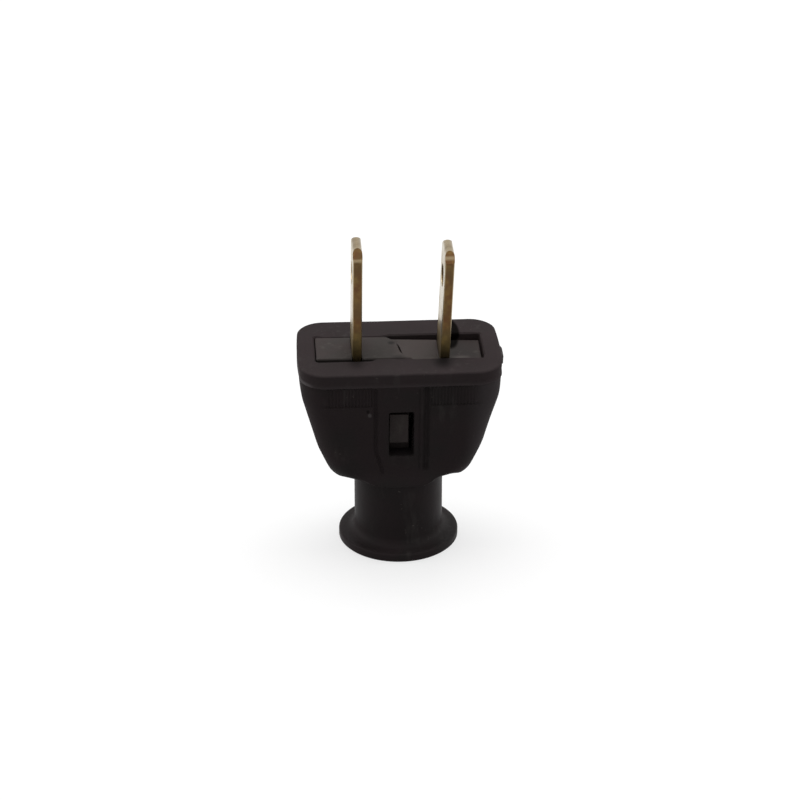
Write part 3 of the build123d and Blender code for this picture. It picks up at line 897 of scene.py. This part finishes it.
def rib_tree():
    """Geometry nodes: a row of half round ribs on a sloping pad, run once for each pad."""
    tree = bpy.data.node_groups.new("grip_ribs", "GeometryNodeTree")
    sockets = (
        ("Ribs", "NodeSocketInt"), ("Pitch", "NodeSocketFloat"), ("Width", "NodeSocketFloat"),
        ("Length", "NodeSocketFloat"), ("Start", "NodeSocketVector"), ("Slope", "NodeSocketFloat"),
        ("Material", "NodeSocketMaterial"),
    )
    for label, kind in sockets:
        tree.interface.new_socket(label, in_out="INPUT", socket_type=kind)
    tree.interface.new_socket("Geometry", in_out="OUTPUT", socket_type="NodeSocketGeometry")
    nodes, link = tree.nodes, tree.links.new
    into, out = nodes.new("NodeGroupInput"), nodes.new("NodeGroupOutput")

    def along(axis, value):
        vector = nodes.new("ShaderNodeCombineXYZ")
        link(value, vector.inputs[axis])
        return vector.outputs[0]

    line = nodes.new("GeometryNodeMeshLine")
    line.mode = "OFFSET"
    link(into.outputs["Ribs"], line.inputs["Count"])
    link(along("X", into.outputs["Pitch"]), line.inputs["Offset"])
    link(into.outputs["Start"], line.inputs["Start Location"])

    spine = nodes.new("GeometryNodeCurvePrimitiveLine")
    down = math_node(tree, "MULTIPLY", into.outputs["Length"], -1.0)
    link(along("Z", down), spine.inputs["End"])
    profile = nodes.new("GeometryNodeCurvePrimitiveCircle")
    profile.inputs["Resolution"].default_value = RIB_SIDES
    half = math_node(tree, "MULTIPLY", into.outputs["Width"], 0.5)
    link(half, profile.inputs["Radius"])
    bar = nodes.new("GeometryNodeCurveToMesh")
    bar.inputs["Fill Caps"].default_value = True
    link(spine.outputs[0], bar.inputs["Curve"])
    link(profile.outputs[0], bar.inputs["Profile Curve"])

    turn = nodes.new("FunctionNodeEulerToRotation")
    link(along("X", into.outputs["Slope"]), turn.inputs[0])
    placed = nodes.new("GeometryNodeInstanceOnPoints")
    link(line.outputs[0], placed.inputs["Points"])
    link(bar.outputs[0], placed.inputs["Instance"])
    link(turn.outputs[0], placed.inputs["Rotation"])
    real = nodes.new("GeometryNodeRealizeInstances")
    link(placed.outputs[0], real.inputs[0])
    finish = nodes.new("GeometryNodeSetMaterial")
    link(real.outputs[0], finish.inputs["Geometry"])
    link(into.outputs["Material"], finish.inputs["Material"])
    link(finish.outputs[0], out.inputs[0])
    return tree


def run_nodes(name, tree, values):
    """Evaluate a geometry tree on an empty mesh and give the plain mesh that it makes."""
    carrier = mesh_object(name, np.zeros((0, 3)), [])
    modifier = carrier.modifiers.new("nodes", "NODES")
    modifier.node_group = tree
    for item in tree.interface.items_tree:
        if item.item_type == "SOCKET" and item.in_out == "INPUT" and item.name in values:
            modifier[item.identifier] = values[item.name]
    graph = bpy.context.evaluated_depsgraph_get()
    mesh = bpy.data.meshes.new_from_object(carrier.evaluated_get(graph))
    bpy.data.objects.remove(carrier)
    return mesh


def join_meshes(name, meshes):
    bm = bmesh.new()
    for mesh in meshes:
        bm.from_mesh(mesh)
    joined = bpy.data.meshes.new(name)
    bm.to_mesh(joined)
    bm.free()
    for material in meshes[0].materials:
        joined.materials.append(material)
    return linked_object(name, joined)


class PLUG_OT_grips(bpy.types.Operator):
    """Make the ribs of the four grip pads on the broad sides"""

    bl_idname = "plug.grips"
    bl_label = "Grip ribs"

    def execute(self, context):
        sizes = context.scene.plug_grips
        tree = rib_tree()
        material = bpy.data.objects["shell_moulding"].data.materials[0]
        top = BAND_BOTTOM - 0.1
        wall = half_depth_at(top) * MM - PAD_DEPTH * MM + sizes.rib_rise - 0.5 * sizes.rib_width
        inner = GRIP_START * MM + 0.5 * sizes.rib_pitch
        reach = (sizes.rib_count - 1) * sizes.rib_pitch
        meshes = []
        for side in (-1, 1):
            for start in (inner, -inner - reach):
                meshes.append(run_nodes("rib_row", tree, {
                    "Ribs": sizes.rib_count, "Pitch": sizes.rib_pitch, "Width": sizes.rib_width,
                    "Length": sizes.rib_height, "Start": (start, side * wall, top * MM),
                    "Slope": -side * math.atan(BROAD_SLOPE), "Material": material,
                }))
        ribs = join_meshes("grip_ribs", meshes)
        smooth(ribs, 50.0)
        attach(ribs, ROOT)
        return {"FINISHED"}


# ---- pieces carried over from the model


def merged_copy(name):
    """A copy of a piece of the model at the origin, with its doubled points merged."""
    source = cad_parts[name]
    bm = bmesh.new()
    bm.from_mesh(source.data)
    bm.transform(source.matrix_world)
    bmesh.ops.remove_doubles(bm, verts=bm.verts, dist=1e-6)
    bm.verts.index_update()
    points = [tuple(v.co) for v in bm.verts]
    faces = [[v.index for v in face.verts] for face in bm.faces]
    bm.free()
    mesh = bpy.data.meshes.new(name + "_finished")
    mesh.from_pydata(points, [], faces)
    mesh.update()
    return linked_object(name + "_finished", mesh)


def box_cutter(low, high):
    corners = ((low[0], low[1]), (high[0], low[1]), (high[0], high[1]), (low[0], high[1]))
    rows = [np.array([(x, y, z) for x, y in corners]) for z in (low[2], high[2])]
    return closed_mesh("box_cutter", rows)


def seat(piece, side):
    """Lean a mesh about the face's centre and move it, as its half of the core sits."""
    lean = math.radians(SEATS[side]["lean"])
    centre = Vector((0.0, 0.0, FACE_HEIGHT)) * MM
    move = Matrix.Translation(centre + Vector(SEATS[side]["move"]) * MM)
    piece.data.transform(move @ Matrix.Rotation(lean, 4, "Y") @ Matrix.Translation(-centre))


def blade_strip(x_centre):
    """The folded strip above the core: round fold at the tip, cut corners and soft long edges."""
    rows = []
    bend = BLADE_TIP - BLADE_HALF_THICKNESS
    cut = BLADE_CUT_HEIGHT / BLADE_CUT_WIDTH
    inner = BLADE_HALF_WIDTH - BLADE_CUT_WIDTH
    for k in range(19):
        turn = math.pi * (k / 18.0 - 0.5)
        x = BLADE_HALF_THICKNESS * math.sin(turn)
        top = bend + BLADE_HALF_THICKNESS * math.cos(turn)
        over = max(abs(x) - BLADE_HALF_THICKNESS + BLADE_EDGE, 0.0)
        half = BLADE_HALF_WIDTH - BLADE_EDGE + math.sqrt(max(BLADE_EDGE ** 2 - over ** 2, 0.0))
        shoulder = BLADE_TIP - (half - inner) * cut
        corner = inner + (BLADE_TIP - top) / cut
        ring = [
            (-half, BLADE_JOIN), (half, BLADE_JOIN), (half, shoulder),
            (corner, top), (-corner, top), (-half, shoulder),
        ]
        rows.append(np.array([(x_centre + x, y, z) for y, z in ring]))
    return closed_mesh("blade_strip", rows)


def hole_cutter(x_centre):
    """A round hole through a blade, with its edges broken."""
    rows = []
    angles = np.linspace(0.0, 2.0 * math.pi, 48, endpoint=False)
    deep = BLADE_HALF_THICKNESS
    for x, radius in (
        (-deep - 0.3, HOLE_RADIUS + 0.4), (-deep, HOLE_RADIUS + 0.1), (-deep + 0.1, HOLE_RADIUS),
        (deep - 0.1, HOLE_RADIUS), (deep, HOLE_RADIUS + 0.1), (deep + 0.3, HOLE_RADIUS + 0.4),
    ):
        y, z = radius * np.cos(angles), HOLE_HEIGHT + radius * np.sin(angles)
        rows.append(np.column_stack((np.full(len(angles), x_centre + x), y, z)))
    return closed_mesh("hole_cutter", rows)


def make_blade(side):
    """The model's blade, with the part above the core made anew with round edges."""
    x_centre = BLADE_X if side == "right" else -BLADE_X
    strip = blade_strip(x_centre)
    combine(strip, hole_cutter(x_centre))
    seat(strip, side)
    blade = merged_copy("blade_" + side)
    combine(blade, box_cutter((-12, -6, BLADE_JOIN + 0.2), (12, 6, 60)))
    combine(blade, strip, "UNION")
    smooth(blade, 35.0)
    return blade


def seam_cutter():
    """A thin ribbon along the S-shaped joint between the halves' faces."""
    half_depth, half_width, low, high = 3.45, 0.08, 29.3, 31
    ribbon = ((-1, low), (1, low), (1, high), (-1, high))
    rows = []
    for t in np.linspace(-0.86, 0.80, 40):
        y = half_depth * t
        x = -0.06 - (0.367 * t + 1.333 * t ** 3)
        across = Vector((half_depth, 0.367 + 4.0 * t * t)).normalized() * half_width
        rows.append(np.array([(x + k * across[0], y + k * across[1], z) for k, z in ribbon]))
    return closed_mesh("seam_cutter", rows)


class PLUG_OT_core(bpy.types.Operator):
    """Finish the two moulded halves of the core and open the joint between their faces"""

    bl_idname = "plug.core"
    bl_label = "Core halves"

    def execute(self, context):
        material = core_material(context.scene.plug_colours)
        for side in ("left", "right"):
            half = merged_copy("core_half_" + side)
            cutter = seam_cutter()
            seat(cutter, "left")
            combine(half, cutter)
            smooth(half, 35.0)
            coat(half, material)
            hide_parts("core_half_" + side)
            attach(half, ROOT)
        return {"FINISHED"}


class PLUG_OT_blades(bpy.types.Operator):
    """Finish the two folded brass blades"""

    bl_idname = "plug.blades"
    bl_label = "Blades"

    def execute(self, context):
        material = brass_material(context.scene.plug_colours)
        for side in ("left", "right"):
            blade = make_blade(side)
            coat(blade, material)
            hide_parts("blade_" + side)
            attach(blade, ROOT)
        return {"FINISHED"}


class PLUG_OT_terminals(bpy.types.Operator):
    """Finish the terminal screws and their clamp plates"""

    bl_idname = "plug.terminals"
    bl_label = "Terminals"

    def execute(self, context):
        material = steel_material(context.scene.plug_colours)
        for name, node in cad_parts.items():
            if name.startswith(("terminal_screw", "wire_clamp")):
                coat(node, material)
        return {"FINISHED"}


# ---- stage


def seen_directly(tree):
    """1 where the camera, a reflection or a see-through surface looks at the stage, else 0."""
    path = tree.nodes.new("ShaderNodeLightPath")
    seen = math_node(tree, "MAXIMUM", path.outputs["Is Camera Ray"], path.outputs["Is Glossy Ray"])
    return math_node(tree, "MAXIMUM", seen, path.outputs["Is Transmission Ray"])


def make_floor():
    """A wide sheet of paper that keeps the shadow and shows white."""
    size = 2500.0
    corners = [(-size, -size, 0), (size, -size, 0), (size, size, 0), (-size, size, 0)]
    floor = mesh_object("floor", corners, [(0, 1, 2, 3)])
    material = bpy.data.materials.new("floor_paper")
    material.use_nodes = True
    tree = material.node_tree
    tree.nodes.clear()
    paper = tree.nodes.new("ShaderNodeBsdfDiffuse")
    paper.inputs["Color"].default_value = (0.36, 0.36, 0.36, 1.0)
    lift = tree.nodes.new("ShaderNodeEmission")
    tree.links.new(math_node(tree, "MULTIPLY", seen_directly(tree), 0.66), lift.inputs["Strength"])
    both = tree.nodes.new("ShaderNodeAddShader")
    output = tree.nodes.new("ShaderNodeOutputMaterial")
    tree.links.new(paper.outputs[0], both.inputs[0])
    tree.links.new(lift.outputs[0], both.inputs[1])
    tree.links.new(both.outputs[0], output.inputs["Surface"])
    floor.data.materials.append(material)


def make_world():
    world = bpy.data.worlds.new("studio")
    world.use_nodes = True
    tree = world.node_tree
    tree.nodes.clear()
    sky = tree.nodes.new("ShaderNodeBackground")
    sky.inputs["Color"].default_value = (1.0, 1.0, 1.0, 1.0)
    strength = ramp_node(tree, seen_directly(tree), 0.0, 1.0, 0.36, 1.0)
    tree.links.new(strength, sky.inputs["Strength"])
    output = tree.nodes.new("ShaderNodeOutputWorld")
    tree.links.new(sky.outputs[0], output.inputs["Surface"])
    bpy.context.scene.world = world


def make_lamp(name, place, aim, size, power):
    lamp = bpy.data.lights.new(name, "AREA")
    lamp.shape = "SQUARE"
    lamp.size = size
    lamp.energy = power
    rig = linked_object(name, lamp)
    rig.location = place
    rig.rotation_euler = (Vector(aim) - Vector(place)).to_track_quat("-Z", "Y").to_euler()


def make_camera():
    """The camera's place, turn and lens, fitted to the object's outline in the photograph."""
    turn, drop, distance = math.radians(3.571), math.radians(27.507), 386.16 * MM
    forward = Vector((
        math.sin(turn) * math.cos(drop), math.cos(turn) * math.cos(drop), -math.sin(drop)
    ))
    right = Vector((math.cos(turn), -math.sin(turn), 0.0))
    up = right.cross(forward)
    target = Vector((0.2545, -0.0159, 21.826)) * MM
    lens = bpy.data.cameras.new("camera")
    lens.sensor_width = 36.0
    lens.lens = 121.5
    lens.clip_start = 0.01
    camera = linked_object("camera", lens)
    turned_to = Matrix((right, up, -forward)).transposed().to_4x4()
    camera.matrix_world = Matrix.Translation(target - forward * distance) @ turned_to
    bpy.context.scene.camera = camera


class PLUG_OT_stage(bpy.types.Operator):
    """Set the plain floor, the soft studio light and the camera"""

    bl_idname = "plug.stage"
    bl_label = "Stage"

    def execute(self, context):
        make_camera()
        make_floor()
        make_world()
        middle = (0.0, 0.0, 0.02)
        make_lamp("top_softbox", (0.0, 0.18, 0.85), middle, 0.7, 5.6)
        make_lamp("left_softbox", (-0.8, 0.15, 0.35), middle, 0.5, 1.6)
        make_lamp("right_softbox", (0.8, 0.15, 0.35), middle, 0.5, 1.6)
        context.scene.view_settings.view_transform = "Standard"
        return {"FINISHED"}


class PLUG_PT_panel(bpy.types.Panel):
    bl_label = "Straight blade plug"
    bl_idname = "PLUG_PT_panel"
    bl_space_type = "VIEW_3D"
    bl_region_type = "UI"
    bl_category = "Plug"

    def draw(self, context):
        for group in ("plug_shell", "plug_grips", "plug_colours"):
            column = self.layout.column(align=True)
            values = getattr(context.scene, group)
            for name in values.__annotations__:
                column.prop(values, name)
        for operator in OPERATORS:
            self.layout.operator(operator.bl_idname)


GROUPS = (
    ("plug_shell", PlugShellSizes), ("plug_grips", PlugGripSizes), ("plug_colours", PlugColours)
)
OPERATORS = (
    PLUG_OT_stage, PLUG_OT_shell, PLUG_OT_grips, PLUG_OT_core, PLUG_OT_blades, PLUG_OT_terminals,
)


def register():
    for name, group in GROUPS:
        bpy.utils.register_class(group)
        setattr(bpy.types.Scene, name, bpy.props.PointerProperty(type=group))
    for item in OPERATORS + (PLUG_PT_panel,):
        bpy.utils.register_class(item)


def unregister():
    for item in reversed(OPERATORS + (PLUG_PT_panel,)):
        bpy.utils.unregister_class(item)
    for name, group in reversed(GROUPS):
        delattr(bpy.types.Scene, name)
        bpy.utils.unregister_class(group)


def main():
    register()
    bpy.ops.plug.stage()
    bpy.ops.plug.shell()
    bpy.ops.plug.grips()
    bpy.ops.plug.core()
    bpy.ops.plug.blades()
    bpy.ops.plug.terminals()


if __name__ == "__main__":
    main()
